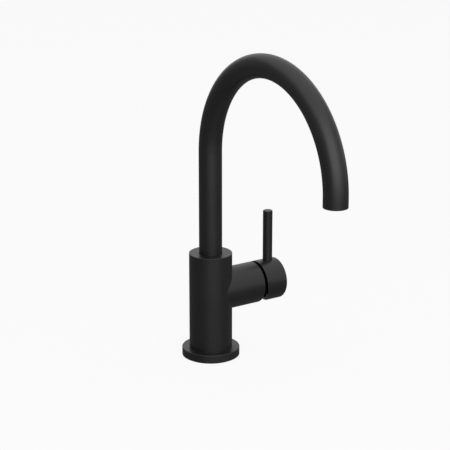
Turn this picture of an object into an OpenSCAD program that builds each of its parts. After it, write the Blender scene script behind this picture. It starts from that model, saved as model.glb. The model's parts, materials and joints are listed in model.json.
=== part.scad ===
// Gooseneck bar faucet with a side lever, for one deck hole.
// Millimetres. Z is up, the column stands on the Z axis, the spout points to -Y and the valve arm to +X.
// The deck surface is z = 0.

/* [Spout] */
// Outside diameter of the spout tube
tube_d = 22; // [20:0.5:24]
// Wall of the spout tube
tube_wall = 1.2; // [1:0.1:1.5]
// Radius of the gooseneck, at the middle of the tube
bend_r = 95.8; // [70:0.1:120]
// Straight column between the body and the bend
column_h = 99.5; // [60:0.5:160]
// Straight end of the tube after the bend
tail_h = 7.6; // [7:0.1:20]

/* [Body] */
// Diameter of the upright body
body_d = 41.2; // [39:0.1:48]
// Height of the body above the base flange
body_h = 94.6; // [92:0.1:120]
// Rounding of the body's top edge
body_edge = 0.4; // [0.2:0.1:1]
// Diameter of the side arm
arm_d = 40.1; // [39:0.1:41]
// Height of the arm's axis above the deck
arm_z = 64.15; // [58:0.05:66]
// Distance from the column axis to the arm's end
arm_end = 50.3; // [50:0.1:54]
// Rounding of the arm's end edge
arm_edge = 0.5; // [0.3:0.1:1]

/* [Base] */
// Diameter of the base flange
flange_d = 55.4; // [50:0.2:66]
// Thickness of the base flange
flange_h = 7.8; // [6:0.1:12]
// Rounding of the flange's top edge
flange_edge = 0.5; // [0.2:0.1:1.5]
// Height of the deck gasket that shows under the flange
gasket_proud = 0.8; // [0.4:0.1:1.5]
// Depth of the gasket's groove in the flange
gasket_groove = 1.2; // [0.8:0.1:2]
// Inside diameter of the deck gasket
gasket_bore = 37; // [36:0.5:40]
// Outside diameter of the deck gasket
gasket_d = 52.4; // [44:0.2:53]

/* [Deck fixing] */
// Outside diameter of the threaded shank
shank_d = 32; // [30:0.5:33]
// Bore of the threaded shank
shank_bore = 26.6; // [25:0.2:28]
// Length of the shank below the deck
shank_below = 56; // [45:1:80]
// Depth of the shank's socket in the body
shank_socket = 14.2; // [10:0.2:18]
// Deck thickness that the fixing is set for
deck_t = 20; // [5:1:30]
// Thickness of the rubber washer
rubber_washer_t = 2.5; // [1.5:0.5:4]
// Diameter of the rubber washer
rubber_washer_d = 54; // [46:1:60]
// Thickness of the steel washer
steel_washer_t = 1.8; // [1:0.2:3]
// Diameter of the steel washer
steel_washer_d = 52; // [46:1:60]
// Width across flats of the mounting nut
deck_nut_af = 41; // [38:0.5:46]
// Height of the mounting nut
deck_nut_h = 8; // [6:0.5:12]

/* [Supply] */
// Thread diameter of the hose sockets
hose_d = 10; // [8:0.5:10.5]
// Depth of the hose sockets
hose_depth = 12; // [8:0.5:14]
// Distance of each hose socket from the column axis
hose_offset = 6.75; // [6.5:0.05:7]
// Diameter of the supply passages
supply_d = 6; // [4:0.2:6.4]
// Diameter of the drillings from the supply passages to the valve
port_d = 3.8; // [3:0.2:4.2]
// Diameter of the mixed water passage
mixed_d = 5.2; // [4:0.2:5.6]
// Distance of the mixed water riser from the column axis
riser_offset = 4.2; // [4:0.1:5.6]
// Diameter of the mixed water riser
riser_d = 5.6; // [5.2:0.2:7.6]

/* [Spout swivel] */
// Depth of the spout's socket in the body
socket_depth = 24.8; // [24.8:0.1:28]
// Radial gap around the tube at the body's top
socket_gap = 0.3; // [0.2:0.05:0.5]
// Thickness of the slip washer under the spout
slip_washer_t = 1; // [0.8:0.1:1.6]
// Length of tube inside the body
tube_seat = 3.2; // [2:0.1:3.6]
// Bore of the spout's end fitting
fitting_bore = 14; // [10:0.5:15]
// Length of the fitting's spigot inside the tube
spigot_h = 6; // [4:0.5:10]
// Width of each bearing ring's groove
bearing_h = 3.5; // [2.5:0.1:3.6]
// Depth of each bearing ring's groove
bearing_groove = 1; // [0.8:0.1:1.2]
// Wire diameter of the spout O-rings
o_ring_d = 1.8; // [1.6:0.05:1.8]
// Width of each O-ring's groove
o_groove_h = 2.2; // [2:0.1:2.3]
// Width of the groove that the retaining screw enters
catch_h = 2.8; // [2.6:0.1:3]
// Depth of the groove that the retaining screw enters
catch_depth = 1.6; // [1.2:0.1:1.8]
// Plain land between two grooves of the end fitting
land_h = 1.1; // [0.8:0.05:1.1]
// Diameter of the retaining screw
catch_screw_d = 5; // [4:0.5:6]
// Diameter of the retaining screw's dog point
catch_point_d = 2.4; // [1.8:0.1:2.4]
// How far the retaining screw lies under the body's surface
catch_sunk = 0.8; // [0.2:0.1:2]
// Width across flats of the retaining screw's hexagon socket
catch_key = 2.5; // [2:0.5:3]
// Depth of the hexagon socket in each grub screw
grub_key_h = 2.6; // [1.5:0.1:3]

/* [Outlet] */
// Depth of the outlet parts inside the tube's mouth
outlet_recess = 0.6; // [0.3:0.1:1.5]
// Height of the outlet sleeve
sleeve_h = 9.4; // [8:0.1:9.6]
// Diameter of the outlet sleeve's thread
aerator_d = 16.5; // [15.5:0.1:17]
// Thickness of the shoulder at the sleeve's inner end
sleeve_shoulder = 1.8; // [1:0.1:2.5]
// Bore of the sleeve's shoulder
sleeve_bore = 13.4; // [11:0.2:14]
// Thickness of the aerator washer
aerator_washer_t = 1.5; // [1:0.1:2]
// Wall of the aerator housing
aerator_wall = 0.9; // [0.7:0.1:1.2]
// Thickness of the aerator screen
screen_t = 1.2; // [0.8:0.1:1.6]
// Diameter of the holes in the aerator screen
screen_hole_d = 1.5; // [1:0.1:1.6]
// Distance between the holes in the aerator screen
screen_pitch = 2.1; // [2:0.1:2.6]
// Thickness of the flow disc
flow_disc_t = 1.6; // [1:0.1:2]
// Number of holes in the flow disc
flow_holes = 10; // [6:1:12]
// Diameter of the holes in the flow disc
flow_hole_d = 1.6; // [1:0.1:2]

/* [Cartridge] */
// Diameter of the cartridge
cartridge_d = 27.6; // [27:0.1:28]
// Wall of the cartridge housing
housing_wall = 1.2; // [1:0.1:1.3]
// Radial gap between the cartridge and its pocket
pocket_gap = 0.2; // [0.1:0.05:0.4]
// Distance from the column axis to the floor of the cartridge pocket
pocket_floor = 14; // [13:0.1:14.5]
// Thickness of the rubber port seals
seal_t = 1.6; // [1.2:0.1:2]
// Height of a port seal that stands out of its groove
seal_proud = 0.6; // [0.4:0.1:0.8]
// Radial wall of each port seal
seal_wall = 1.1; // [0.8:0.1:1.2]
// Thickness of the cartridge base
base_t = 6.4; // [5:0.1:6.6]
// Thickness of the fixed ceramic disc
fixed_disc_t = 3.95; // [3:0.05:4]
// Thickness of the moving ceramic disc
moving_disc_t = 3.6; // [3:0.1:4]
// Diameter of the moving ceramic disc
moving_disc_d = 20.4; // [19:0.1:20.4]
// Depth of the mixing chamber in the moving disc
chamber_depth = 1.8; // [1:0.1:2.2]
// Thickness of the disc carrier
carrier_t = 4.8; // [4.6:0.1:5]
// Half width of the disc carrier between its guides
carrier_half = 8.6; // [8:0.1:9]
// Sideways distance of each inlet port from the cartridge axis
inlet_side = 5.2; // [5:0.1:5.6]
// Height of the inlet ports above the cartridge axis
inlet_up = 3.6; // [3.2:0.1:3.8]
// Depth of the outlet port below the cartridge axis
outlet_down = 3.6; // [3.4:0.1:4]
// Thickness of the rotor's flange
rotor_flange_t = 2.9; // [2.4:0.1:3.2]
// Diameter of the rotor's neck
rotor_neck_d = 18.5; // [18:0.1:19]
// Thickness of the housing's front wall
front_wall_t = 3; // [2:0.1:3.4]
// Outside diameter of the housing's neck
housing_neck_d = 22; // [21.6:0.1:22]
// Wire diameter of the rotor's O-ring
rotor_ring_d = 1.3; // [1.2:0.05:1.4]
// Diameter of the pivot pin
pivot_d = 3; // [2.5:0.1:3.5]
// Thread diameter of the cartridge nut
cartridge_nut_d = 32; // [31:0.5:33]
// Length of the cartridge nut's thread
cartridge_nut_t = 5.2; // [4:0.1:5.4]
// Width across flats of the cartridge nut's hexagon
cartridge_nut_af = 27; // [26:0.5:27.5]
// Height of the cartridge nut's hexagon
cartridge_nut_h = 3.8; // [3:0.1:4]

/* [Handle] */
// Distance from the column axis to the pivot of the lever
pivot_x = 46; // [45.5:0.1:46.5]
// Largest tilt of the lever in degrees
tilt_max = 20; // [15:1:21]
// Radius of the dome that closes the arm
dome_r = 18; // [17.8:0.05:18.1]
// Wall of the dome
dome_wall = 1.2; // [0.8:0.1:1.3]
// Diameter of the dome's front opening
dome_opening = 26; // [25:0.5:27]
// Diameter of the handle cap
cap_d = 40.2; // [39.6:0.1:41]
// Gap between the arm's end and the handle cap
cap_gap = 2.9; // [2.5:0.1:3.5]
// Length of the handle cap
cap_l = 23; // [21:0.1:28]
// Wall of the handle cap around its bore
cap_wall = 2.8; // [2.2:0.1:2.9]
// Radius of the curve that cuts the cap's front back below, which leaves room for the tilt
relief_r = 38; // [34:0.5:40]
// Height above the arm's axis at which that curve leaves the rim
relief_start = 0.5; // [0.3:0.1:2]
// Angle at which that curve leaves the rim, in degrees
relief_angle = 4; // [3.5:0.5:8]
// Rounding of the cap's rim at the gap
rim_edge = 0.2; // [0.1:0.05:0.4]
// Rounding of the cap's end edge
cap_edge = 0.8; // [0.3:0.1:1]
// Width of the square stem
stem_w = 7.6; // [7:0.1:7.8]
// Diameter of the stem's inner neck
stem_neck_d = 4.4; // [3.6:0.1:4.6]
// Diameter of the ball at the stem's inner end
ball_d = 5.2; // [4.6:0.1:5.4]
// Depth of the stem in the cap
stem_depth = 8.5; // [7:0.1:9]
// Diameter of the lever
lever_d = 9.3; // [7:0.1:10]
// Distance from the column axis to the lever's axis
lever_x = 66.3; // [66:0.1:68]
// Height of the lever's top above the arm's axis
lever_top = 70.2; // [50:0.2:110]
// Rounding of the lever's top edge
lever_edge = 0.9; // [0.3:0.1:2]
// Depth of the lever's seat in the cap
lever_seat = 8; // [7:0.1:8.6]
// Thread diameter at the lever's foot
lever_thread_d = 5; // [4:0.5:5.5]
// Thread length at the lever's foot
lever_thread_l = 5.6; // [4:0.1:6]
// Diameter of the handle's set screw
set_screw_d = 4; // [3:0.5:5]
// Width across flats of the set screw's hexagon socket
set_screw_key = 2; // [1.5:0.5:2.5]
// Length of the handle's set screw
set_screw_l = 8; // [6:0.5:12]

/* [Clearances] */
// Radial clearance of a turning fit
running = 0.05; // [0.03:0.01:0.08]
// Radial clearance of a thread or a seated piece
seated = 0.03; // [0.02:0.01:0.05]
// Gap between moving pieces that don't guide each other
free_gap = 0.3; // [0.2:0.05:0.4]
// Gap between sliding flat faces
slide_gap = 0.03; // [0.02:0.01:0.06]

/* [Hidden] */
$fn = 96;

// How far a cutting shape runs past the face that it cuts
over = 1;

matte_black = "#262728";
brass = "#b08d4f";
steel = "#a9adb0";
rubber = "#1b1b1c";
white_plastic = "#d9d9d4";
grey_plastic = "#7d8286";
ceramic = "#e9e4da";

// Base
flange_bottom = gasket_proud;
flange_top = flange_bottom + flange_h;
shank_r = shank_d / 2;
shank_top = flange_bottom + shank_socket;
// The body's foot inside the flange
spigot_wall = 1.6;
spigot_lift = 0.4;
spigot_gap = 0.1;
spigot_r = shank_r + spigot_wall;
washer_top = -deck_t;
steel_top = washer_top - rubber_washer_t;
nut_top = steel_top - steel_washer_t;

// Body
body_r = body_d / 2;
body_top = flange_top + body_h;
arm_r = arm_d / 2;
supply_top = arm_z + inlet_up;

// Spout
tube_r = tube_d / 2;
tube_in_r = tube_r - tube_wall;
bend_z = body_top + column_h;
outlet_z = bend_z - tail_h;
outlet_y = -2 * bend_r;
socket_r = tube_r + socket_gap;
socket_floor = body_top - socket_depth;
fitting_bottom = socket_floor + slip_washer_t;
fitting_top = body_top - tube_seat;
upper_bearing_z = fitting_top - land_h - bearing_h;
catch_z = upper_bearing_z - land_h - catch_h;
upper_o_z = catch_z - land_h - o_groove_h;
lower_o_z = upper_o_z - land_h - o_groove_h;
lower_bearing_z = fitting_bottom + land_h;
bearing_in_r = tube_r - bearing_groove;
o_ring_r = socket_r - slide_gap - o_ring_d / 2;
o_groove_r = o_ring_r - o_ring_d / 2;
catch_r = tube_r - catch_depth;
catch_axis_z = catch_z + catch_h / 2;

// Outlet
sleeve_bottom = outlet_z + outlet_recess;
sleeve_r = tube_in_r - running;
aerator_r = aerator_d / 2;
sleeve_step_z = sleeve_bottom + sleeve_h - sleeve_shoulder;
aerator_top = sleeve_step_z - aerator_washer_t;
aerator_in_r = aerator_r - seated - aerator_wall;
screen_lip = 0.6;
screen_z = sleeve_bottom + screen_lip;
flow_disc_z = aerator_top - flow_disc_t;

// Cartridge, along the arm
cartridge_r = cartridge_d / 2;
cavity_r = cartridge_r - housing_wall;
pocket_r = cartridge_r + pocket_gap;
base_x = pocket_floor + seal_proud;
base_end = base_x + base_t;
base_step = 1;
housing_x = base_end - base_step;
fixed_disc_x = base_end + seal_proud;
moving_disc_x = fixed_disc_x + fixed_disc_t + slide_gap;
carrier_x = moving_disc_x + moving_disc_t;
carrier_end = carrier_x + carrier_t;
rotor_x = carrier_end + free_gap;
rotor_flange_end = rotor_x + rotor_flange_t;
shoulder_x = rotor_flange_end + running;
front_x = shoulder_x + front_wall_t;
rotor_reach = 4.5;
rotor_end = pivot_x + rotor_reach;
rotor_neck_r = rotor_neck_d / 2;
housing_bore_r = rotor_neck_r + running;
housing_neck_r = housing_neck_d / 2;
neck_reach = 1;
neck_end = pivot_x + neck_reach;
nut_gap = 0.2;
nut_bore_r = housing_neck_r + nut_gap;
nut_r = cartridge_nut_d / 2;
mouth_r = nut_r + running;
mouth_x = front_x - free_gap;
hex_x = front_x + cartridge_nut_t;
rotor_ring_r = housing_bore_r - slide_gap - rotor_ring_d / 2;
rotor_groove_r = rotor_ring_r - rotor_ring_d / 2;
rotor_groove_inset = 1.2;
rotor_groove_room = 0.3;
rotor_groove_x = front_x + rotor_groove_inset;
rotor_groove_w = rotor_ring_d + rotor_groove_room;
moving_disc_r = moving_disc_d / 2;
guide_r = cavity_r - free_gap;
inlet_r = port_d / 2;
outlet_r = mixed_d / 2;
ports = [[inlet_side, inlet_up, inlet_r], [-inlet_side, inlet_up, inlet_r], [0, -outlet_down, outlet_r]];

// Lever mechanism, along the arm
ball_r = ball_d / 2;
carrier_floor = 1;
ball_room = 0.3;
ball_x = carrier_x + carrier_floor + ball_room + ball_r;
ball_arm = pivot_x - ball_x;
disc_travel = ball_arm * sin(tilt_max);
disc_down = disc_travel / 2;
stem_half = stem_w / 2;
stem_square_back = 4;
stem_square_x = pivot_x - stem_square_back;
slot_reach = 8;
slot_gap = 0.2;
pin_inset = 0.4;
cap_x = arm_end + cap_gap;
cap_end = cap_x + cap_l;
cap_r = cap_d / 2;
cap_bore_r = cap_r - cap_wall;
// The cap's cavity keeps clear of the dome's sphere through the tilt, and dips into its open front
cavity_dip = 1.4;
cavity_taper = 5;
cavity_end = pivot_x + dome_r - cavity_dip;
cavity_end_r = dome_r / 2;
cavity_taper_x = cavity_end - cavity_taper;
stem_end = cavity_end + stem_depth;
dome_seat_inset = 0.85;
dome_seat_r = dome_r - dome_seat_inset;
dome_seat_depth = 3;
dome_in_r = dome_r - dome_wall;
dome_opening_r = dome_opening / 2;
lever_r = lever_d / 2;
lever_foot = cap_r - lever_seat;

// Turns a shape so that its Z axis runs along the arm, out from the column
module along_arm() {
    translate([0, 0, arm_z]) rotate([0, 90, 0]) children();
}

// Places a part of the arm at a distance from the column axis
module at_arm(x) {
    along_arm() translate([0, 0, x]) children();
}

// Cylinder with a bore right through
module ring(outer_r, inner_r, h) {
    difference() {
        cylinder(r = outer_r, h = h);
        translate([0, 0, -over]) cylinder(r = inner_r, h = h + 2 * over);
    }
}

// Cylinder whose top edge is rounded
module round_top(r, h, edge) {
    rotate_extrude()
        union() {
            square([r - edge, h]);
            square([r, h - edge]);
            translate([r - edge, h - edge]) circle(r = edge);
        }
}

// Cylinder whose two edges are rounded, each by its own radius
module round_ends(r, h, low_edge, top_edge) {
    rotate_extrude()
        union() {
            square([r - low_edge, h / 2]);
            translate([0, h / 2]) square([r - top_edge, h / 2]);
            translate([0, low_edge]) square([r, h - low_edge - top_edge]);
            translate([r - low_edge, low_edge]) circle(r = low_edge);
            translate([r - top_edge, h - top_edge]) circle(r = top_edge);
        }
}

// O-ring around the Z axis
module o_ring(r, wire_d) {
    rotate_extrude() translate([r, 0]) circle(d = wire_d);
}

// Drills the three ports of the cartridge
module port_holes(h) {
    for (p = ports) translate([-p[1], p[0], -over]) cylinder(r = p[2], h = h + 2 * over);
}

// Grub screw with its hexagon socket at the top
module grub_screw(d, l, key) {
    difference() {
        cylinder(d = d - 2 * seated, h = l);
        translate([0, 0, l - grub_key_h]) cylinder(d = key / cos(30), h = grub_key_h + over, $fn = 6);
    }
}

module deck_gasket() {
    color(rubber)
        ring(gasket_d / 2, gasket_bore / 2, gasket_proud + gasket_groove);
}

module base_flange() {
    color(matte_black)
        difference() {
            translate([0, 0, flange_bottom]) round_top(flange_d / 2, flange_h, flange_edge);
            translate([0, 0, -over]) cylinder(r = spigot_r + spigot_gap, h = flange_top + 2 * over);
            translate([0, 0, -over])
                ring(gasket_d / 2 + seated, gasket_bore / 2 - seated, gasket_proud + gasket_groove + over);
        }
}

module threaded_shank() {
    color(brass)
        translate([0, 0, -shank_below]) ring(shank_r, shank_bore / 2, shank_below + shank_top);
}

module rubber_washer() {
    color(rubber)
        translate([0, 0, steel_top]) ring(rubber_washer_d / 2, shank_r + free_gap, rubber_washer_t);
}

module steel_washer() {
    color(steel)
        translate([0, 0, nut_top]) ring(steel_washer_d / 2, shank_r + free_gap, steel_washer_t);
}

module mounting_nut() {
    face_inset = 0.8;
    face_r = (deck_nut_af - face_inset) / 2;
    chamfer_angle = 30;
    color(brass)
        translate([0, 0, nut_top - deck_nut_h])
            difference() {
                intersection() {
                    cylinder(d = deck_nut_af / cos(30), h = deck_nut_h, $fn = 6);
                    cylinder(r1 = face_r, r2 = face_r + deck_nut_h / tan(chamfer_angle), h = deck_nut_h);
                }
                translate([0, 0, -over]) cylinder(r = shank_r + seated, h = deck_nut_h + 2 * over);
            }
}

// Drillings inside the casting
module water_ways() {
    for (side = [-1, 1]) {
        translate([0, side * hose_offset, 0]) {
            translate([0, 0, shank_top - over]) cylinder(d = hose_d, h = hose_depth + over);
            translate([0, 0, shank_top]) cylinder(d = supply_d, h = supply_top + supply_d / 2 - shank_top);
        }
        translate([0, side * inlet_side, supply_top])
            rotate([0, 90, 0]) cylinder(d = port_d, h = pocket_floor + over);
    }
    translate([-riser_offset, 0, arm_z - outlet_down])
        rotate([0, 90, 0]) cylinder(d = mixed_d, h = pocket_floor + riser_offset + over);
    translate([-riser_offset, 0, arm_z - outlet_down - mixed_d / 2])
        cylinder(d = riser_d, h = socket_floor - arm_z + outlet_down + mixed_d / 2 + over);
}

module valve_body() {
    color(matte_black)
        difference() {
            union() {
                translate([0, 0, flange_top]) round_top(body_r, body_h, body_edge);
                translate([0, 0, flange_bottom + spigot_lift]) cylinder(r = spigot_r, h = flange_h);
                along_arm() round_top(arm_r, arm_end, arm_edge);
            }
            translate([0, 0, -over]) cylinder(r = shank_r + seated, h = shank_top + over);
            translate([0, 0, socket_floor]) cylinder(r = socket_r, h = socket_depth + over);
            at_arm(pocket_floor) cylinder(r = pocket_r, h = mouth_x - pocket_floor + over);
            at_arm(mouth_x) cylinder(r = mouth_r, h = arm_end - mouth_x + over);
            at_arm(arm_end - dome_seat_depth)
                cylinder(r = dome_seat_r + seated, h = dome_seat_depth + over);
            translate([0, 0, catch_axis_z])
                rotate([-90, 0, 0]) cylinder(d = catch_screw_d, h = body_r + over);
            water_ways();
        }
}

module spout_tube() {
    color(matte_black)
        difference() {
            spout_path(tube_r, 0);
            spout_path(tube_in_r, over);
        }
}

// Solid along the spout's path, with its two ends drawn out
module spout_path(r, beyond) {
    translate([0, 0, fitting_top - beyond]) cylinder(r = r, h = bend_z - fitting_top + beyond);
    translate([0, -bend_r, bend_z])
        rotate([90, 0, 90]) rotate_extrude(angle = 180) translate([bend_r, 0]) circle(r = r);
    translate([0, outlet_y, outlet_z - beyond]) cylinder(r = r, h = tail_h + beyond);
}

module spout_end_fitting() {
    color(brass)
        difference() {
            union() {
                translate([0, 0, fitting_bottom]) cylinder(r = tube_r, h = fitting_top - fitting_bottom);
                translate([0, 0, fitting_top]) cylinder(r = tube_in_r - seated, h = spigot_h);
            }
            translate([0, 0, fitting_bottom - over])
                cylinder(d = fitting_bore, h = fitting_top + spigot_h - fitting_bottom + 2 * over);
            for (z = [upper_bearing_z, lower_bearing_z])
                translate([0, 0, z]) ring(tube_r + over, bearing_in_r, bearing_h);
            for (z = [upper_o_z, lower_o_z])
                translate([0, 0, z]) ring(tube_r + over, o_groove_r, o_groove_h);
            translate([0, 0, catch_z]) ring(tube_r + over, catch_r, catch_h);
        }
}

module spout_bearing_rings() {
    split = 1.2;
    color(white_plastic)
        for (z = [upper_bearing_z, lower_bearing_z])
            translate([0, 0, z + seated])
                difference() {
                    ring(socket_r - running, bearing_in_r + seated, bearing_h - 2 * seated);
                    translate([-split / 2, 0, -over]) cube([split, tube_r + over, bearing_h + 2 * over]);
                }
}

module spout_o_rings() {
    color(rubber)
        for (z = [upper_o_z, lower_o_z]) translate([0, 0, z + o_groove_h / 2]) o_ring(o_ring_r, o_ring_d);
}

module spout_slip_washer() {
    color(white_plastic)
        translate([0, 0, socket_floor])
            ring(socket_r - seated, fitting_bore / 2, slip_washer_t - slide_gap);
}

module spout_retaining_screw() {
    point_y = catch_r + free_gap;
    shoulder_y = socket_r + free_gap;
    color(steel)
        translate([0, 0, catch_axis_z])
            rotate([-90, 0, 0]) {
                translate([0, 0, point_y]) cylinder(d = catch_point_d, h = shoulder_y - point_y);
                translate([0, 0, shoulder_y])
                    grub_screw(catch_screw_d, body_r - catch_sunk - shoulder_y, catch_key);
            }
}

// Places a part of the outlet on the axis of the tube's mouth
module at_outlet(z) {
    translate([0, outlet_y, z]) children();
}

module outlet_sleeve() {
    color(brass)
        at_outlet(sleeve_bottom)
            difference() {
                cylinder(r = sleeve_r, h = sleeve_h);
                translate([0, 0, -over]) cylinder(d = sleeve_bore, h = sleeve_h + 2 * over);
                translate([0, 0, -over]) cylinder(r = aerator_r, h = sleeve_h - sleeve_shoulder + over);
            }
}

module aerator_housing() {
    notch_w = 2.4;
    notch_h = 1.4;
    color(grey_plastic)
        at_outlet(sleeve_bottom)
            difference() {
                cylinder(r = aerator_r - seated, h = aerator_top - sleeve_bottom);
                translate([0, 0, screen_lip]) cylinder(r = aerator_in_r, h = sleeve_h);
                translate([0, 0, -over]) cylinder(r = aerator_in_r - screen_lip, h = sleeve_h);
                for (a = [0 : 90 : 270])
                    rotate([0, 0, a])
                        translate([aerator_in_r - screen_lip - over, -notch_w / 2, -over])
                            cube([aerator_wall + screen_lip + 2 * over, notch_w, notch_h + over]);
            }
}

module aerator_screen() {
    rows = floor((aerator_in_r - screen_hole_d) / screen_pitch);
    mesh_r = aerator_in_r - screen_lip - screen_hole_d;
    color(steel)
        at_outlet(screen_z)
            difference() {
                cylinder(r = aerator_in_r - seated, h = screen_t);
                for (i = [-rows : rows], j = [-rows : rows])
                    if (norm([i + j / 2, j * sin(60)]) * screen_pitch < mesh_r)
                        translate([(i + j / 2) * screen_pitch, j * sin(60) * screen_pitch, -over])
                            cylinder(d = screen_hole_d, h = screen_t + 2 * over, $fn = 16);
            }
}

module aerator_flow_disc() {
    hole_ring_r = aerator_in_r * 2 / 3;
    color(white_plastic)
        at_outlet(flow_disc_z)
            difference() {
                cylinder(r = aerator_in_r - seated, h = flow_disc_t);
                for (k = [1 : flow_holes])
                    rotate([0, 0, k * 360 / flow_holes])
                        translate([hole_ring_r, 0, -over])
                            cylinder(d = flow_hole_d, h = flow_disc_t + 2 * over, $fn = 24);
            }
}

module aerator_washer() {
    color(rubber)
        at_outlet(aerator_top) ring(aerator_r - seated, sleeve_bore / 2, aerator_washer_t);
}

module port_seals() {
    color(rubber)
        at_arm(pocket_floor)
            for (p = ports) translate([-p[1], p[0], 0]) ring(p[2] + seal_wall, p[2], seal_t);
}

module cartridge_base() {
    color(white_plastic)
        difference() {
            union() {
                at_arm(base_x) cylinder(r = cartridge_r, h = housing_x - base_x);
                at_arm(housing_x) cylinder(r = cavity_r - seated, h = base_end - housing_x);
            }
            at_arm(base_x) port_holes(base_t);
            at_arm(base_x - over)
                for (p = ports)
                    translate([-p[1], p[0], 0])
                        cylinder(r = p[2] + seal_wall + seated, h = over + seal_t - seal_proud);
            at_arm(base_end - seal_t + seal_proud)
                for (p = ports) translate([-p[1], p[0], 0])
                    cylinder(r = p[2] + seal_wall + seated, h = seal_t);
        }
}

module disc_seals() {
    color(rubber)
        at_arm(fixed_disc_x - seal_t)
            for (p = ports) translate([-p[1], p[0], 0]) ring(p[2] + seal_wall, p[2], seal_t);
}

module fixed_disc() {
    color(ceramic)
        at_arm(fixed_disc_x)
            difference() {
                cylinder(r = cavity_r - seated, h = fixed_disc_t);
                port_holes(fixed_disc_t);
            }
}

// Mixing chamber in the back of the moving disc: two lobes over the inlets and a tail to the outlet
module mixing_chamber(h) {
    lobe_r = inlet_r + 1.5;
    tail_half = outlet_r - 0.2;
    lobe_up = 0.6;
    tail_down = 5;
    for (side = [-1, 1]) translate([-lobe_up, side * tail_half, 0]) cylinder(r = lobe_r, h = h);
    translate([-lobe_up, -tail_half, 0]) cube([lobe_up + tail_down, 2 * tail_half, h]);
}

module moving_disc() {
    color(ceramic)
        at_arm(moving_disc_x)
            translate([disc_down, 0, 0])
                difference() {
                    intersection() {
                        cylinder(r = moving_disc_r, h = moving_disc_t);
                        translate([-cartridge_r, -carrier_half, 0])
                            cube([cartridge_d, 2 * carrier_half, moving_disc_t]);
                    }
                    translate([0, 0, -over]) mixing_chamber(chamber_depth + over);
                }
}

module disc_carrier() {
    color(grey_plastic)
        at_arm(carrier_x)
            difference() {
                translate([disc_down, 0, 0])
                    intersection() {
                        cylinder(r = moving_disc_r, h = carrier_t);
                        translate([-cartridge_r, -carrier_half, 0])
                            cube([cartridge_d, 2 * carrier_half, carrier_t]);
                    }
                translate([0, 0, carrier_floor]) cylinder(r = ball_r + free_gap, h = carrier_t);
            }
}

module cartridge_housing() {
    color(white_plastic)
        difference() {
            union() {
                at_arm(housing_x) cylinder(r = cartridge_r, h = front_x - housing_x);
                at_arm(front_x) cylinder(r = housing_neck_r, h = neck_end - front_x);
            }
            at_arm(housing_x - over) cylinder(r = cavity_r, h = shoulder_x - housing_x + over);
            at_arm(housing_x) cylinder(r = housing_bore_r, h = neck_end - housing_x + over);
        }
}

// Side view of the stem's inner part, each edge moved out by grow
module stem_outline(grow) {
    translate([-ball_arm, 0]) circle(r = ball_r + grow);
    translate([-ball_arm, -stem_neck_d / 2 - grow]) square([ball_arm, stem_neck_d + 2 * grow]);
    translate([-(pivot_x - stem_square_x) - grow, -stem_half - grow])
        square([pivot_x - stem_square_x + grow + slot_reach, stem_w + 2 * grow]);
}

// Slot that the stem sweeps while it tilts
module stem_slot() {
    tilt_steps = 5;
    translate([pivot_x, 0, arm_z])
        rotate([90, 0, 0])
            translate([0, 0, -stem_half - slot_gap])
                linear_extrude(height = stem_w + 2 * slot_gap)
                    for (k = [0 : tilt_steps]) rotate([0, 0, -tilt_max * k / tilt_steps])
                        stem_outline(free_gap);
}

module cartridge_rotor() {
    track_half = carrier_half + free_gap;
    color(grey_plastic)
        difference() {
            union() {
                at_arm(rotor_x) cylinder(r = guide_r, h = rotor_flange_t);
                at_arm(rotor_x) cylinder(r = rotor_neck_r, h = rotor_end - rotor_x);
                at_arm(carrier_x)
                    difference() {
                        cylinder(r = guide_r, h = rotor_x - carrier_x);
                        translate([-cartridge_d, -track_half, -over])
                            cube([2 * cartridge_d, 2 * track_half, rotor_x - carrier_x + over]);
                    }
            }
            stem_slot();
            at_arm(rotor_groove_x) ring(rotor_neck_r + over, rotor_groove_r, rotor_groove_w);
            translate([pivot_x, 0, arm_z])
                rotate([90, 0, 0]) cylinder(d = pivot_d, h = 2 * rotor_neck_r, center = true);
        }
}

module rotor_o_ring() {
    color(rubber)
        at_arm(rotor_groove_x + rotor_groove_w / 2) o_ring(rotor_ring_r, rotor_ring_d);
}

module pivot_pin() {
    color(steel)
        translate([pivot_x, 0, arm_z])
            rotate([90, 0, 0]) cylinder(d = pivot_d, h = 2 * (rotor_neck_r - pin_inset), center = true);
}

module stem() {
    color(brass)
        difference() {
            union() {
                at_arm(ball_x) sphere(r = ball_r);
                at_arm(ball_x) cylinder(d = stem_neck_d, h = stem_square_x - ball_x + over);
                translate([stem_square_x, -stem_half, arm_z - stem_half])
                    cube([stem_end - stem_square_x, stem_w, stem_w]);
            }
            translate([pivot_x, 0, arm_z])
                rotate([90, 0, 0])
                    cylinder(r = pivot_d / 2 + running, h = stem_w + 2 * over, center = true);
        }
}

module cartridge_nut() {
    color(brass)
        difference() {
            union() {
                at_arm(front_x) cylinder(r = nut_r, h = cartridge_nut_t);
                at_arm(hex_x) cylinder(d = cartridge_nut_af / cos(30), h = cartridge_nut_h, $fn = 6);
            }
            at_arm(front_x - over)
                cylinder(r = nut_bore_r, h = cartridge_nut_t + cartridge_nut_h + 2 * over);
        }
}

module handle_dome() {
    lip = 0.4;
    color(matte_black)
        along_arm()
            rotate_extrude()
                union() {
                    difference() {
                        intersection() {
                            translate([0, pivot_x]) circle(r = dome_r);
                            translate([dome_opening_r, arm_end]) square([dome_r, dome_r]);
                        }
                        translate([0, pivot_x]) circle(r = dome_in_r);
                    }
                    translate([dome_seat_r - dome_wall, arm_end - dome_seat_depth + seated])
                        square([dome_wall, dome_seat_depth - seated + lip]);
                }
}

// Room in the cap for the dome: a bore, a taper and a flat floor
module cap_cavity() {
    along_arm()
        rotate_extrude()
            polygon([
                [0, cap_x - over],
                [cap_bore_r, cap_x - over],
                [cap_bore_r, cavity_taper_x],
                [cavity_end_r, cavity_end],
                [0, cavity_end]
            ]);
}

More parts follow.
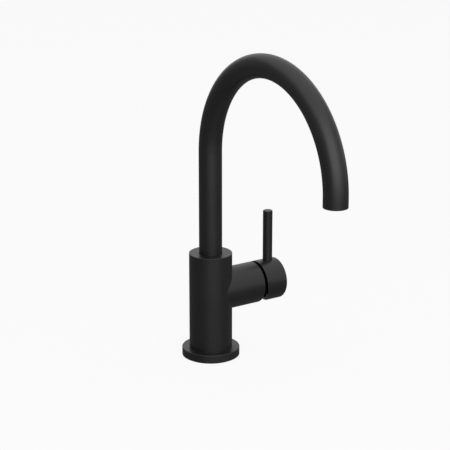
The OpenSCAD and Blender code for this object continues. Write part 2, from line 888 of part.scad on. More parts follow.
// Cutter that sets the cap's front back on a curve, more and more towards the bottom
module cap_relief() {
    drop = cap_r + relief_start + over;
    translate([cap_x, cap_r + over, arm_z + relief_start])
        rotate([90, 0, 0])
            linear_extrude(height = 2 * (cap_r + over))
                difference() {
                    translate([-over, -drop]) square([relief_r + over, drop]);
                    translate([relief_r * cos(relief_angle), relief_r * sin(relief_angle)])
                        circle(r = relief_r);
                }
}

module handle_cap() {
    color(matte_black)
        difference() {
            at_arm(cap_x) round_ends(cap_r, cap_l, rim_edge, cap_edge);
            cap_relief();
            cap_cavity();
            translate([cavity_end - over, -stem_half - seated, arm_z - stem_half - seated])
                cube([stem_depth + over + seated, stem_w + 2 * seated, stem_w + 2 * seated]);
            translate([lever_x, 0, arm_z + lever_foot])
                cylinder(r = lever_r + seated, h = lever_seat + over);
            translate([lever_x, 0, arm_z]) cylinder(d = lever_thread_d, h = cap_r);
            translate([lever_x, 0, arm_z - cap_r - over]) cylinder(d = set_screw_d, h = cap_r + over);
        }
}

module handle_set_screw() {
    color(steel)
        translate([lever_x, 0, arm_z - stem_half])
            rotate([180, 0, 0]) grub_screw(set_screw_d, set_screw_l, set_screw_key);
}

module lever() {
    color(matte_black)
        translate([lever_x, 0, arm_z]) {
            translate([0, 0, lever_foot]) round_top(lever_r, lever_top - lever_foot, lever_edge);
            translate([0, 0, lever_foot - lever_thread_l])
                cylinder(d = lever_thread_d - 2 * seated, h = lever_thread_l);
        }
}

deck_gasket();
base_flange();
threaded_shank();
rubber_washer();
steel_washer();
mounting_nut();
valve_body();
spout_tube();
spout_end_fitting();
spout_bearing_rings();
spout_o_rings();
spout_slip_washer();
spout_retaining_screw();
outlet_sleeve();
aerator_housing();
aerator_screen();
aerator_flow_disc();
aerator_washer();
port_seals();
cartridge_base();
disc_seals();
fixed_disc();
moving_disc();
disc_carrier();
cartridge_housing();
cartridge_rotor();
rotor_o_ring();
pivot_pin();
stem();
cartridge_nut();
handle_dome();
handle_cap();
handle_set_screw();
lever();
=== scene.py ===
# %% [markdown]
# # A gooseneck bar faucet, dressed for its portrait
# The metalwork arrives as finished CAD solids, one for every piece of the real faucet.
# They are loaded as a fixed frame: each one already lies where it belongs, in metres, with the
# column's axis on Z, the spout towards -Y and the valve arm towards +X.
# What is left for Blender is the finish of each surface and the details that CAD leaves plain.

# %% Load the frame
import json
import math
from collections import Counter

import bpy
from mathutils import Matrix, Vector


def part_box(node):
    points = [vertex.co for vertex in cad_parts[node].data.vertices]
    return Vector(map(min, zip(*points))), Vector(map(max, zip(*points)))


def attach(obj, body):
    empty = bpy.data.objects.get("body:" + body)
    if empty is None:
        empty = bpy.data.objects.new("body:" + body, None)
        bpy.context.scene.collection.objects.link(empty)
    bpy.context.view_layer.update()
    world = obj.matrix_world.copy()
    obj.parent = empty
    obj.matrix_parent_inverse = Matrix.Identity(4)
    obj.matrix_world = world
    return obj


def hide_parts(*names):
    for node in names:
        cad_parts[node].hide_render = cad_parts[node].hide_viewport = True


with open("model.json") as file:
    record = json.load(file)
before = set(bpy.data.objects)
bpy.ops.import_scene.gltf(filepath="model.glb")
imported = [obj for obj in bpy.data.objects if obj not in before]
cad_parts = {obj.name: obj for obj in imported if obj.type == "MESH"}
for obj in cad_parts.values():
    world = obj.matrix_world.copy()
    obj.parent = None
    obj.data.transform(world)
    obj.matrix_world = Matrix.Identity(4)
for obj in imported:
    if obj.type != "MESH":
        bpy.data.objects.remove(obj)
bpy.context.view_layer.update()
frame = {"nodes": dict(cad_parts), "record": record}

nodes = frame["nodes"]
MM = 0.001
print("CAD nodes:", len(nodes))


# %% [markdown]
# ## The camera
# The photograph was taken with a long lens, a little from above and from the left of the spout.
# A pinhole camera fitted to the faucet's outlines gives the angles, the distance and the lens.
# Shifting the lens could centre the picture too, but aiming at a point beside the column keeps the
# perspective of the real camera.

# %% Directions
def direction(azimuth, elevation):
    """Unit vector from the faucet, by its angles in radians. Azimuth 0 is in front of the spout."""
    return Vector((
        math.sin(azimuth) * math.cos(elevation),
        -math.cos(azimuth) * math.cos(elevation),
        math.sin(elevation),
    ))


# %% Camera
AZIMUTH = math.radians(-33.783)
ELEVATION = math.radians(17.139)
DISTANCE = 1.5132
AIM_HEIGHT = 0.1306
AIM_ASIDE = 0.0137
LENS_MM = 127.86
SENSOR_MM = 36.0

to_camera = direction(AZIMUTH, ELEVATION)
aside = Vector((math.cos(AZIMUTH), math.sin(AZIMUTH), 0))
aim = aside * AIM_ASIDE + Vector((0, 0, AIM_HEIGHT))

bpy.ops.object.camera_add(location=aim + to_camera * DISTANCE)
camera = bpy.context.object
camera.name = "camera"
camera.rotation_euler = (-to_camera).to_track_quat("-Z", "Y").to_euler()
camera.data.lens = LENS_MM
camera.data.sensor_width = SENSOR_MM
bpy.context.scene.camera = camera
print("camera at", [round(c, 3) for c in camera.location])


# %% [markdown]
# ## Building materials in code
# Every finish is a node tree. A few short helpers keep the trees readable: one adds a node and
# fills its sockets, one starts a material, one mixes two tones and one turns a pattern into relief.
# Noise is read from Object coordinates, so the grain has one size in metres on every piece.

# %% Node helpers
def add_node(tree, kind, operation=None, **sockets):
    """Adds a node. Sockets are given by name with underscores, as a value or another node's output."""
    node = tree.nodes.new(kind)
    if operation:
        node.operation = operation
    for name, value in sockets.items():
        socket = node.inputs[name.replace("_", " ")]
        if isinstance(value, bpy.types.NodeSocket):
            tree.links.new(value, socket)
        else:
            socket.default_value = value
    return node


def start_material(name, **sockets):
    """Returns a new material, its tree and its Principled BSDF with the plain values given."""
    material = bpy.data.materials.new(name)
    material.use_nodes = True
    shader = material.node_tree.nodes["Principled BSDF"]
    for socket_name, value in sockets.items():
        shader.inputs[socket_name.replace("_", " ")].default_value = value
    return material, material.node_tree, shader


def start_group(name, inputs, outputs):
    """Returns a node group with named float inputs and outputs, and its two end nodes."""
    group = bpy.data.node_groups.new(name, "ShaderNodeTree")
    for socket_name, value in inputs.items():
        socket = group.interface.new_socket(socket_name, in_out="INPUT", socket_type="NodeSocketFloat")
        socket.default_value = value
    for socket_name in outputs:
        group.interface.new_socket(socket_name, in_out="OUTPUT", socket_type="NodeSocketFloat")
    start = group.nodes.new("NodeGroupInput")
    end = group.nodes.new("NodeGroupOutput")
    return group, start, end


def place_group(tree, group, **sockets):
    """Places a node group in a material."""
    node = tree.nodes.new("ShaderNodeGroup")
    node.node_tree = group
    for name, value in sockets.items():
        node.inputs[name.replace("_", " ")].default_value = value
    return node


# %% Tones and relief
NOISE_LOW = 0.35
NOISE_HIGH = 0.65


def tint(tree, shader, pattern, dark, light):
    """Colours a surface from dark to light. Noise stays mostly between the two ends of the ramp."""
    ramp = add_node(tree, "ShaderNodeValToRGB", Fac=pattern)
    for stop, position, tone in zip(ramp.color_ramp.elements, (NOISE_LOW, NOISE_HIGH), (dark, light)):
        stop.position = position
        stop.color = (*tone, 1)
    tree.links.new(ramp.outputs["Color"], shader.inputs["Base Color"])


def emboss(tree, shader, pattern, depth):
    """Gives a surface relief: the pattern is its height, and depth the height's size in metres."""
    bump = add_node(tree, "ShaderNodeBump", Height=pattern, Distance=depth)
    tree.links.new(bump.outputs["Normal"], shader.inputs["Normal"])


# %% [markdown]
# ## Two shared surface effects
# A sprayed or moulded surface has two scales of detail: a fine grain that catches light, and slow
# clouds where the layer is a little thicker or the sheen a little duller.
# One group makes both, and each finish sets its own sizes.
# A turned piece instead carries rings from the lathe tool. A wave texture could draw them, but
# noise squeezed flat along the axis of the piece gives fine lines of uneven strength, as a real
# tool leaves them.

# %% Grain group
grain_group, grain_in, grain_out = start_group(
    "surface_grain",
    {"Grain Scale": 3000.0, "Cloud Scale": 30.0, "Cloud Low": 0.0, "Cloud High": 1.0},
    ["Grain", "Clouds"],
)
place = add_node(grain_group, "ShaderNodeTexCoord")
fine = add_node(
    grain_group, "ShaderNodeTexNoise",
    Vector=place.outputs["Object"], Scale=grain_in.outputs["Grain Scale"], Detail=3.0, Roughness=0.6,
)
slow = add_node(
    grain_group, "ShaderNodeTexNoise",
    Vector=place.outputs["Object"], Scale=grain_in.outputs["Cloud Scale"], Detail=2.0, Roughness=0.5,
)
spread = add_node(
    grain_group, "ShaderNodeMapRange",
    Value=slow.outputs["Fac"], From_Min=NOISE_LOW, From_Max=NOISE_HIGH,
    To_Min=grain_in.outputs["Cloud Low"], To_Max=grain_in.outputs["Cloud High"],
)
grain_group.links.new(fine.outputs["Fac"], grain_out.inputs["Grain"])
grain_group.links.new(spread.outputs["Result"], grain_out.inputs["Clouds"])
print("made group", grain_group.name)

# %% Lathe group
ACROSS_RINGS = 0.02
ALONG_AXIS = 1.0

lathe_group, lathe_in, lathe_out = start_group(
    "lathe_rings",
    {"Along X": 0.0, "Along Z": 1.0, "Ring Scale": 6000.0, "Dull Low": 0.2, "Dull High": 0.4},
    ["Rings", "Dullness"],
)
place = add_node(lathe_group, "ShaderNodeTexCoord")
axes = add_node(
    lathe_group, "ShaderNodeCombineXYZ",
    X=lathe_in.outputs["Along X"], Y=ACROSS_RINGS, Z=lathe_in.outputs["Along Z"],
)
squeezed = add_node(lathe_group, "ShaderNodeVectorMath", "MULTIPLY")
lathe_group.links.new(place.outputs["Object"], squeezed.inputs[0])
lathe_group.links.new(axes.outputs["Vector"], squeezed.inputs[1])
rings = add_node(
    lathe_group, "ShaderNodeTexNoise",
    Vector=squeezed.outputs["Vector"], Scale=lathe_in.outputs["Ring Scale"], Detail=2.0, Roughness=0.7,
)
spread = add_node(
    lathe_group, "ShaderNodeMapRange",
    Value=rings.outputs["Fac"], From_Min=NOISE_LOW, From_Max=NOISE_HIGH,
    To_Min=lathe_in.outputs["Dull Low"], To_Max=lathe_in.outputs["Dull High"],
)
lathe_group.links.new(rings.outputs["Fac"], lathe_out.inputs["Rings"])
lathe_group.links.new(spread.outputs["Result"], lathe_out.inputs["Dullness"])
print("made group", lathe_group.name)


# %% [markdown]
# ## The black finish
# All the outside metal has the same satin black coat. It is a thin dielectric layer over metal, so
# its colour is almost black, its reflections are white and broad, and at a glancing angle it
# brightens to grey, as at the top of the bend. A little grain breaks up the highlight.
# A flat grey with a strong highlight could imitate that from one side only. The Principled BSDF
# with a real index of refraction does it from every side.

# %% A finish with grain
def grained_finish(name, dark, light, grain_scale, cloud_scale, dull, relief, **sockets):
    """A finish with the shared grain. dull is the range of its roughness, and relief is in metres."""
    material, tree, shader = start_material(name, **sockets)
    grain = place_group(
        tree, grain_group,
        Grain_Scale=grain_scale, Cloud_Scale=cloud_scale, Cloud_Low=dull[0], Cloud_High=dull[1],
    )
    tint(tree, shader, grain.outputs["Grain"], dark, light)
    tree.links.new(grain.outputs["Clouds"], shader.inputs["Roughness"])
    emboss(tree, shader, grain.outputs["Grain"], relief)
    print("made", name)
    return material


# %% Satin black coat
SATIN_BLACK = {
    "dark": (0.0042, 0.0043, 0.0045),
    "light": (0.0067, 0.0068, 0.0070),
    "grain_scale": 2600.0,
    "cloud_scale": 26.0,
    "dull": (0.38, 0.42),
    "relief": 0.004 * MM,
    "IOR": 1.5,
}

coat = grained_finish("satin_black_coat", **SATIN_BLACK)


# %% [markdown]
# ## The gap between the arm and the cap
# The gap behind the handle's cap looks jet black, and that black is painted shade: the dome that closes it
# gets a darker, duller black than the coat, and the faces of the cap that look into the gap are
# painted darker, as shade, and given a smoother, less rough coat.
# Those faces could get a second material slot, but they belong to a CAD piece, whose mesh stays as
# it is. The normal in Object coordinates tells them apart just as well, and it turns with the
# handle.

# %% The cap's coat, with painted shade inside the gap
GAP_FACING = {"From_Min": -0.75, "From_Max": -0.45}
# The next value is painted shade: the share of the coat's colour kept on faces that look into the gap.
GAP_PAINTED_SHADE_SHARE = 0.2
GAP_DULLNESS = 0.12

cap_coat_painted_gap_shade = grained_finish("satin_black_cap_painted_gap_shade", **SATIN_BLACK)
tree = cap_coat_painted_gap_shade.node_tree
shader = tree.nodes["Principled BSDF"]
coat_tone = shader.inputs["Base Color"].links[0].from_socket
coat_dullness = shader.inputs["Roughness"].links[0].from_socket

place = add_node(tree, "ShaderNodeTexCoord")
facing = add_node(tree, "ShaderNodeSeparateXYZ", Vector=place.outputs["Normal"])
share = add_node(
    tree, "ShaderNodeMapRange",
    Value=facing.outputs["X"], To_Min=GAP_PAINTED_SHADE_SHARE, To_Max=1.0, **GAP_FACING,
)
# Painted shade: the coat's colour is scaled down on faces that look into the gap.
painted_shade_tone = add_node(tree, "ShaderNodeVectorMath", "SCALE", Vector=coat_tone, Scale=share.outputs["Result"])
dullness = add_node(
    tree, "ShaderNodeMapRange",
    Value=facing.outputs["X"], To_Min=GAP_DULLNESS, To_Max=coat_dullness, **GAP_FACING,
)
tree.links.new(painted_shade_tone.outputs["Vector"], shader.inputs["Base Color"])
tree.links.new(dullness.outputs["Result"], shader.inputs["Roughness"])
print("the cap's coat is", GAP_PAINTED_SHADE_SHARE, "as light inside the gap")

# %% Dull black of the dome, darker as painted shade
# The dome's colour is painted shade: it is set darker than the coat so the gap behind the cap reads as deep
# shade.
dome_painted_shade_coat = grained_finish(
    "dull_black_painted_shade_coat",
    dark=(0.0024, 0.0024, 0.0025), light=(0.0038, 0.0038, 0.0039),
    grain_scale=2600.0, cloud_scale=26.0, dull=(0.70, 0.80), relief=0.006 * MM,
    Specular_IOR_Level=0.15,
)


# %% [markdown]
# ## Bare metals
# Behind the black coat the faucet is plain turned brass and stainless steel, seen at the shank
# under the deck, in the outlet, and wherever the valve is taken apart.
# A metal's colour is its reflection, so it is all Metallic, and the rings from the tool show as
# changes of roughness and a very shallow relief.
# The rings run around the piece's own axis. A Mapping node in each material could turn them, but
# two inputs of the group do, so brass turned upright and brass turned along the arm are two
# materials made by one function.

# %% Turned brass
def turned_brass(name, along_x, along_z):
    """Brass with fine rings across the given axis."""
    material, tree, shader = start_material(name, Metallic=1.0)
    turned = place_group(
        tree, lathe_group,
        Along_X=along_x, Along_Z=along_z, Ring_Scale=5200.0, Dull_Low=0.22, Dull_High=0.38,
    )
    tint(tree, shader, turned.outputs["Rings"], dark=(0.60, 0.41, 0.17), light=(0.70, 0.50, 0.23))
    tree.links.new(turned.outputs["Dullness"], shader.inputs["Roughness"])
    emboss(tree, shader, turned.outputs["Rings"], depth=0.006 * MM)
    print("made", name)
    return material


brass_upright = turned_brass("turned_brass_upright", along_x=ACROSS_RINGS, along_z=ALONG_AXIS)
brass_along_arm = turned_brass("turned_brass_along_arm", along_x=ALONG_AXIS, along_z=ACROSS_RINGS)

# %% Stainless steel
steel = grained_finish(
    "stainless_steel",
    dark=(0.45, 0.45, 0.45), light=(0.56, 0.56, 0.55),
    grain_scale=3600.0, cloud_scale=60.0, dull=(0.26, 0.36), relief=0.003 * MM,
    Metallic=1.0,
)


# %% [markdown]
# ## Rubber, plastic and ceramic
# The seals are matte moulded rubber. The spout's bearings, the fixed plastic of the valve and the
# flow disc are white acetal. The turning rotor, the disc carrier and the aerator's housing are grey
# nylon with a dry, slightly grained surface.
# The two valve discs are lapped alumina: warm white, dense and nearly polished.
# All are plain dielectrics that differ in tone, sheen and grain, so the same function makes them.

# %% Moulded rubber
rubber = grained_finish(
    "moulded_rubber",
    dark=(0.011, 0.011, 0.011), light=(0.018, 0.018, 0.018),
    grain_scale=1800.0, cloud_scale=90.0, dull=(0.62, 0.78), relief=0.02 * MM,
    Specular_IOR_Level=0.3,
)

# %% Moulded plastics and lapped ceramic
MOULDED = {"grain_scale": 2200.0, "cloud_scale": 120.0}

acetal = grained_finish(
    "white_acetal",
    dark=(0.66, 0.66, 0.63), light=(0.72, 0.72, 0.69), dull=(0.34, 0.44), relief=0.004 * MM, **MOULDED,
)
nylon = grained_finish(
    "grey_nylon",
    dark=(0.19, 0.20, 0.22), light=(0.23, 0.24, 0.26), dull=(0.48, 0.60), relief=0.010 * MM, **MOULDED,
)
alumina = grained_finish(
    "lapped_alumina",
    dark=(0.79, 0.75, 0.68), light=(0.83, 0.79, 0.72), dull=(0.12, 0.18), relief=0.001 * MM, **MOULDED,
)


# %% [markdown]
# ## Dressing the CAD pieces
# The frame's record says which finish each piece has, so one loop can dress all of them.
# A few pieces have a finish of their own: the brass that was turned along the arm, and the two
# black pieces at the gap, whose darker black is painted shade.

# %% Assign the finishes
FINISHES = {
    "matte_black": coat,
    "rubber": rubber,
    "brass": brass_upright,
    "steel": steel,
    "white_plastic": acetal,
    "grey_plastic": nylon,
    "ceramic": alumina,
}
OWN_FINISHES = {
    "stem": brass_along_arm,
    "cartridge_nut": brass_along_arm,
    "handle_dome": dome_painted_shade_coat,
    "handle_cap": cap_coat_painted_gap_shade,
}

for part in frame["record"]["subparts"]:
    name = part["node"]
    finish = OWN_FINISHES.get(name, FINISHES[part["material_slot"]])
    for material_slot in nodes[name].material_slots:
        material_slot.material = finish


# %% [markdown]
# ## The thread on the shank
# Under the deck the nut climbs a fine thread cut into the shank. CAD leaves it a plain cylinder at
# the crest's size, so the real thread is made here and stands in its place.
# Rings stacked on each other would look alike, but a thread climbs: it is one small profile swept
# around and up at once, which is exactly what the Screw modifier does.
# The swept skin is cut flat at both ends, and an Intersect with a plain tube, which has its ends
# chamfered, gives the bore and lets the thread run out on the chamfer as a die does.
# A Boolean goes wrong where two faces lie in the same place. So the skin runs a little past both
# ends and the tube is a little wider than the crests, and the count of open edges shows that the
# result is a solid.

# %% Modelling helpers
def deselect_all():
    """Nothing stays selected, and no object is in edit mode."""
    if bpy.context.object and bpy.context.object.mode != "OBJECT":
        bpy.ops.object.mode_set(mode="OBJECT")
    bpy.ops.object.select_all(action="DESELECT")


def select_only(piece):
    """Makes one object the only selected and active one."""
    deselect_all()
    piece.select_set(True)
    bpy.context.view_layer.objects.active = piece


def name_and_settle(name):
    """Names the new primitive and moves its place into its mesh."""
    piece = bpy.context.object
    piece.name = name
    bpy.ops.object.transform_apply(location=True, rotation=True, scale=True)
    return piece


def apply_modifier(piece, kind, **settings):
    """Adds a modifier with its settings and applies it at once."""
    select_only(piece)
    modifier = piece.modifiers.new(kind.lower(), kind)
    for setting, value in settings.items():
        setattr(modifier, setting, value)
    bpy.ops.object.modifier_apply(modifier=modifier.name)


def open_edges(piece):
    """Counts the edges that don't join exactly two faces. A solid has none."""
    faces_at = Counter(edge for face in piece.data.polygons for edge in face.edge_keys)
    return sum(count != 2 for count in faces_at.values())


# %% Sizes of the thread, from the CAD shank
PITCH = 1.5 * MM
THREAD_DEPTH = 0.6134 * PITCH
CREST_FLAT = PITCH / 8
ROOT_FLAT = PITCH / 4
TURN_STEPS = 72
SPARE_TURNS = 2

shank_low, shank_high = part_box("threaded_shank")
shank_length = shank_high.z - shank_low.z
shank_middle = (shank_high.z + shank_low.z) / 2
crest_r = shank_high.x
root_r = crest_r - THREAD_DEPTH
shank_bore_r = min(math.hypot(v.co.x, v.co.y) for v in nodes["threaded_shank"].data.vertices)
turns = math.ceil(shank_length / PITCH) + 2 * SPARE_TURNS
print("crest", round(crest_r / MM, 2), "bore", round(shank_bore_r / MM, 2), "turns", turns)

# %% Sweep the profile
flank = (PITCH - CREST_FLAT - ROOT_FLAT) / 2
profile = (
    Vector((root_r, 0, 0)),
    Vector((root_r, 0, ROOT_FLAT)),
    Vector((crest_r, 0, ROOT_FLAT + flank)),
    Vector((crest_r, 0, ROOT_FLAT + flank + CREST_FLAT)),
    Vector((root_r, 0, PITCH)),
)

deselect_all()
bpy.ops.mesh.primitive_plane_add(size=PITCH)
thread = bpy.context.object
thread.name = "shank_thread"
bpy.ops.object.mode_set(mode="EDIT")
bpy.ops.mesh.delete(type="ONLY_FACE")
bpy.ops.mesh.select_all(action="SELECT")
bpy.ops.mesh.merge(type="CENTER")
for start, end in zip(profile, profile[1:]):
    bpy.ops.mesh.extrude_region_move(TRANSFORM_OT_translate={"value": end - start})
bpy.ops.mesh.select_all(action="SELECT")
bpy.ops.transform.translate(value=(root_r, 0, shank_low.z - SPARE_TURNS * PITCH))
bpy.ops.object.mode_set(mode="OBJECT")
apply_modifier(
    thread, "SCREW",
    angle=2 * math.pi, screw_offset=PITCH, iterations=turns, steps=TURN_STEPS, render_steps=TURN_STEPS,
)
print("swept", len(thread.data.polygons), "faces")

# %% Cut the ends flat
MERGE = 0.001 * MM
SPARE = 0.5 * MM

select_only(thread)
bpy.ops.object.mode_set(mode="EDIT")
bpy.ops.mesh.select_all(action="SELECT")
bpy.ops.mesh.remove_doubles(threshold=MERGE)
for height, at_top in ((shank_low.z - SPARE, False), (shank_high.z + SPARE, True)):
    bpy.ops.mesh.select_all(action="SELECT")
    bpy.ops.mesh.bisect(
        plane_co=(0, 0, height), plane_no=(0, 0, 1),
        clear_outer=at_top, clear_inner=not at_top,
    )
bpy.ops.mesh.select_all(action="DESELECT")
bpy.ops.mesh.select_non_manifold()
bpy.ops.mesh.edge_face_add()
bpy.ops.mesh.select_all(action="SELECT")
bpy.ops.mesh.normals_make_consistent(inside=False)
bpy.ops.object.mode_set(mode="OBJECT")
print("thread has", len(thread.data.polygons), "faces and", open_edges(thread), "open edges")

# %% The plain tube with chamfered ends
END_CHAMFER = 1.0 * MM
RIM_ANGLE = math.radians(60)


def add_rod(name, radius, length):
    """A plain rod on the column's axis, level with the shank."""
    deselect_all()
    bpy.ops.mesh.primitive_cylinder_add(
        vertices=TURN_STEPS, radius=radius, depth=length, location=(0, 0, shank_middle),
    )
    return name_and_settle(name)


blank = add_rod("shank_blank", crest_r + SPARE, shank_length)
apply_modifier(
    blank, "BEVEL",
    width=END_CHAMFER + SPARE, segments=1, limit_method="ANGLE", angle_limit=RIM_ANGLE,
)
bore = add_rod("shank_bore", shank_bore_r, shank_length + 2 * SPARE)
apply_modifier(blank, "BOOLEAN", operation="DIFFERENCE", solver="EXACT", object=bore)
print("tube has", len(blank.data.polygons), "faces and", open_edges(blank), "open edges")

# %% Thread and tube together
apply_modifier(thread, "BOOLEAN", operation="INTERSECT", solver="EXACT", object=blank)
bpy.data.objects.remove(bore)
bpy.data.objects.remove(blank)
print("threaded shank has", len(thread.data.polygons), "faces and", open_edges(thread), "open edges")

# %% Finish the shank
SHARP_ANGLE = math.radians(28)

select_only(thread)
bpy.ops.object.shade_smooth_by_angle(angle=SHARP_ANGLE)
thread.data.materials.append(brass_upright)
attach(thread, "body")
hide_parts("threaded_shank")
print(thread.name, "stands for the plain shank")


# %% [markdown]
# ## The studio
# The photograph shows a white ground with hardly a shadow, and soft reflections of a large lamp.
# Brighter lamps could turn a grey floor white, but they would wash out the faucet. So the floor
# glows white by itself for the camera, for reflections and through glass. A small share of it is
# ordinary white paint, which keeps the faucet's shadow, and the glow makes up what the lamps leave
# short of white there. The world beyond looks just as white, and lights the faucet with a soft grey.

# %% Helpers for the studio
def start_stage_material(name):
    """Returns a new material and its tree, with no node in it."""
    material = bpy.data.materials.new(name)
    material.use_nodes = True
    material.node_tree.nodes.clear()
    return material, material.node_tree


def choose_by_ray(tree, lighting, seen):
    """Mixes two shaders: one is seen by the camera, in gloss and through glass, the other lights the rest."""
    path = add_node(tree, "ShaderNodeLightPath")
    is_seen = path.outputs["Is Camera Ray"]
    for ray in ("Is Glossy Ray", "Is Transmission Ray"):
        either = add_node(tree, "ShaderNodeMath", "MAXIMUM")
        tree.links.new(is_seen, either.inputs[0])
        tree.links.new(path.outputs[ray], either.inputs[1])
        is_seen = either.outputs["Value"]
    choice = add_node(tree, "ShaderNodeMixShader", Fac=is_seen)
    tree.links.new(lighting, choice.inputs[1])
    tree.links.new(seen, choice.inputs[2])
    return choice.outputs["Shader"]


# %% Floor
WHITE = 0.956
SHADOW_SHARE = 0.08
LAMPLIGHT_ON_FLOOR = 0.66
FLOOR_SIZE = 24.0

shadow_tone = WHITE * SHADOW_SHARE
glow_tone = WHITE * (1 - SHADOW_SHARE * LAMPLIGHT_ON_FLOOR)

deselect_all()
bpy.ops.mesh.primitive_plane_add(size=FLOOR_SIZE)
floor = bpy.context.object
floor.name = "studio_floor"
white_floor, tree = start_stage_material("white_floor")
paint = add_node(tree, "ShaderNodeBsdfDiffuse", Color=(WHITE, WHITE, WHITE, 1))
shadow_paint = add_node(tree, "ShaderNodeBsdfDiffuse", Color=(shadow_tone, shadow_tone, shadow_tone, 1))
glow = add_node(tree, "ShaderNodeEmission", Strength=glow_tone)
both = add_node(tree, "ShaderNodeAddShader")
tree.links.new(shadow_paint.outputs["BSDF"], both.inputs[0])
tree.links.new(glow.outputs["Emission"], both.inputs[1])
choice = choose_by_ray(tree, lighting=paint.outputs["BSDF"], seen=both.outputs["Shader"])
add_node(tree, "ShaderNodeOutputMaterial", Surface=choice)
floor.data.materials.append(white_floor)
print("floor", FLOOR_SIZE, "m")

# %% World
AMBIENT = 0.44
PURE_WHITE = (1, 1, 1, 1)

world = bpy.data.worlds.new("studio_world")
bpy.context.scene.world = world
world.use_nodes = True
tree = world.node_tree
tree.nodes.clear()
ambient = add_node(tree, "ShaderNodeBackground", Color=PURE_WHITE, Strength=AMBIENT)
backdrop = add_node(tree, "ShaderNodeBackground", Color=PURE_WHITE, Strength=WHITE)
choice = choose_by_ray(
    tree, lighting=ambient.outputs["Background"], seen=backdrop.outputs["Background"],
)
add_node(tree, "ShaderNodeOutputWorld", Surface=choice)
print("ambient", AMBIENT)


# %% [markdown]
# ## Lamps
# Two softboxes are enough. One hangs overhead and lights the tops evenly. The key stands to the
# right of the camera, close to its height, and makes the broad band of light down every tube.
# The cloth of a softbox is brightest in its middle, so a second, smaller lamp shares its place.
# A lamp of power P and area A sends out P / (pi * A) in every direction, so the powers are worked
# out from the brightness that each lamp should have.

# %% Lamps
def right_of_camera(azimuth, elevation=0):
    """Direction from the faucet, in degrees to the right of the camera and above the floor."""
    return direction(AZIMUTH + math.radians(azimuth), math.radians(elevation))


def add_lamp(name, azimuth, elevation, distance, width, height, brightness):
    """A rectangular lamp that faces the faucet."""
    towards = right_of_camera(azimuth, elevation)
    bpy.ops.object.light_add(type="AREA", location=aim + towards * distance)
    lamp = bpy.context.object
    lamp.name = name
    lamp.rotation_euler = (-towards).to_track_quat("-Z", "Y").to_euler()
    lamp.data.shape = "RECTANGLE"
    lamp.data.size = width
    lamp.data.size_y = height
    lamp.data.energy = brightness * math.pi * width * height
    lamp.visible_camera = False
    print(name, round(lamp.data.energy, 1), "W")


add_lamp("key_lamp", azimuth=15, elevation=21, distance=2.4, width=3.1, height=2.0, brightness=1.24)
add_lamp("key_middle", azimuth=15, elevation=21, distance=2.4, width=1.8, height=1.5, brightness=1.97)
add_lamp("top_lamp", azimuth=10, elevation=75, distance=2.2, width=3.4, height=3.4, brightness=0.30)


# %% [markdown]
# ## Grey sheets for the reflections
# A black object has no colour of its own to show, so it is drawn by what it reflects. In a bare
# white room it would look grey all over. A darker coat could not help, because the reflections are
# what is grey. So grey sheets that only reflections see keep it black, as dark card does in a real
# studio. Each glows at a fixed grey and lights nothing.
# A disc lies on the floor, cut off straight towards the key, and a paler fan lies on it in front,
# whose two straight sides meet at the faucet. Each cut is given by its direction, in degrees to
# the right of the camera, and its distance from the faucet.
# Two walls stand at the sides, with an opening for the key and one behind the faucet.

# %% Helpers for the sheets
def show_only_in_reflections(sheet, tone):
    """Gives a stage piece a fixed grey glow that only reflections see."""
    grey, tree = start_stage_material(sheet.name + "_grey")
    glow = add_node(tree, "ShaderNodeEmission", Strength=tone)
    add_node(tree, "ShaderNodeOutputMaterial", Surface=glow.outputs["Emission"])
    sheet.data.materials.append(grey)
    sheet.visible_camera = False
    sheet.visible_diffuse = False
    sheet.visible_transmission = False
    sheet.visible_shadow = False


def cut_away(sheet, azimuth, distance):
    """Cuts off what lies farther than the distance in one direction to the right of the camera."""
    outwards = right_of_camera(azimuth)
    select_only(sheet)
    bpy.ops.object.mode_set(mode="EDIT")
    bpy.ops.mesh.select_all(action="SELECT")
    bpy.ops.mesh.bisect(plane_co=outwards * distance, plane_no=outwards, clear_outer=True)
    bpy.ops.object.mode_set(mode="OBJECT")


# %% Sheets on the floor
SHEET_SIDES = 72
TOWARDS_KEY = (18, 1.35)
FAN_RIGHT_SIDE = (142, 0)
FAN_LEFT_SIDE = (-105, 0)


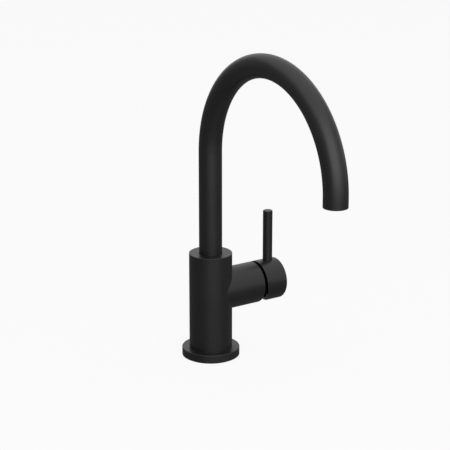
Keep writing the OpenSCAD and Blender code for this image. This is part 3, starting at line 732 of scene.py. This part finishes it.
def add_floor_sheet(name, radius, lift, tone, cuts):
    """A flat disc just above the floor, cut off in the directions and at the distances given."""
    deselect_all()
    bpy.ops.mesh.primitive_circle_add(
        vertices=SHEET_SIDES, radius=radius, fill_type="NGON", location=(0, 0, lift),
    )
    sheet = name_and_settle(name)
    for azimuth, distance in cuts:
        cut_away(sheet, azimuth, distance)
    show_only_in_reflections(sheet, tone)
    print(name, "has", len(sheet.data.vertices), "corners")


add_floor_sheet("ground_sheet", radius=2.88, lift=0.2 * MM, tone=0.164, cuts=[TOWARDS_KEY])
add_floor_sheet(
    "front_sheet", radius=2.0, lift=0.3 * MM, tone=0.25,
    cuts=[TOWARDS_KEY, FAN_RIGHT_SIDE, FAN_LEFT_SIDE],
)

# %% Walls
WALL_R = 2.9
FULL_TURN = 360


def add_wall(name, height, first, last, tone):
    """An upright sheet around the faucet, kept from the first to the last angle right of the camera."""
    deselect_all()
    bpy.ops.mesh.primitive_cylinder_add(
        vertices=SHEET_SIDES, radius=WALL_R, depth=height, end_fill_type="NOTHING",
        location=(0, 0, height / 2),
    )
    wall = name_and_settle(name)
    bpy.ops.object.mode_set(mode="EDIT")
    bpy.ops.mesh.select_all(action="DESELECT")
    bpy.ops.object.mode_set(mode="OBJECT")
    for face in wall.data.polygons:
        angle = math.degrees(math.atan2(face.center.x, -face.center.y) - AZIMUTH) % FULL_TURN
        face.select = not first <= angle <= last
    bpy.ops.object.mode_set(mode="EDIT")
    bpy.ops.mesh.delete(type="FACE")
    bpy.ops.object.mode_set(mode="OBJECT")
    show_only_in_reflections(wall, tone)
    print(name, "keeps", len(wall.data.polygons), "of", SHEET_SIDES, "sides")


add_wall("right_wall", height=2.5, first=52, last=144, tone=0.69)
add_wall("left_wall", height=2.0, first=210, last=345, tone=0.27)


# %% [markdown]
# ## The picture
# A filmic view could soften the highlights, but it would also grey the white ground. Standard
# colours, with nothing changed after the render, keep each tone as it was lit.

# %% Finish
bpy.context.scene.view_settings.view_transform = "Standard"
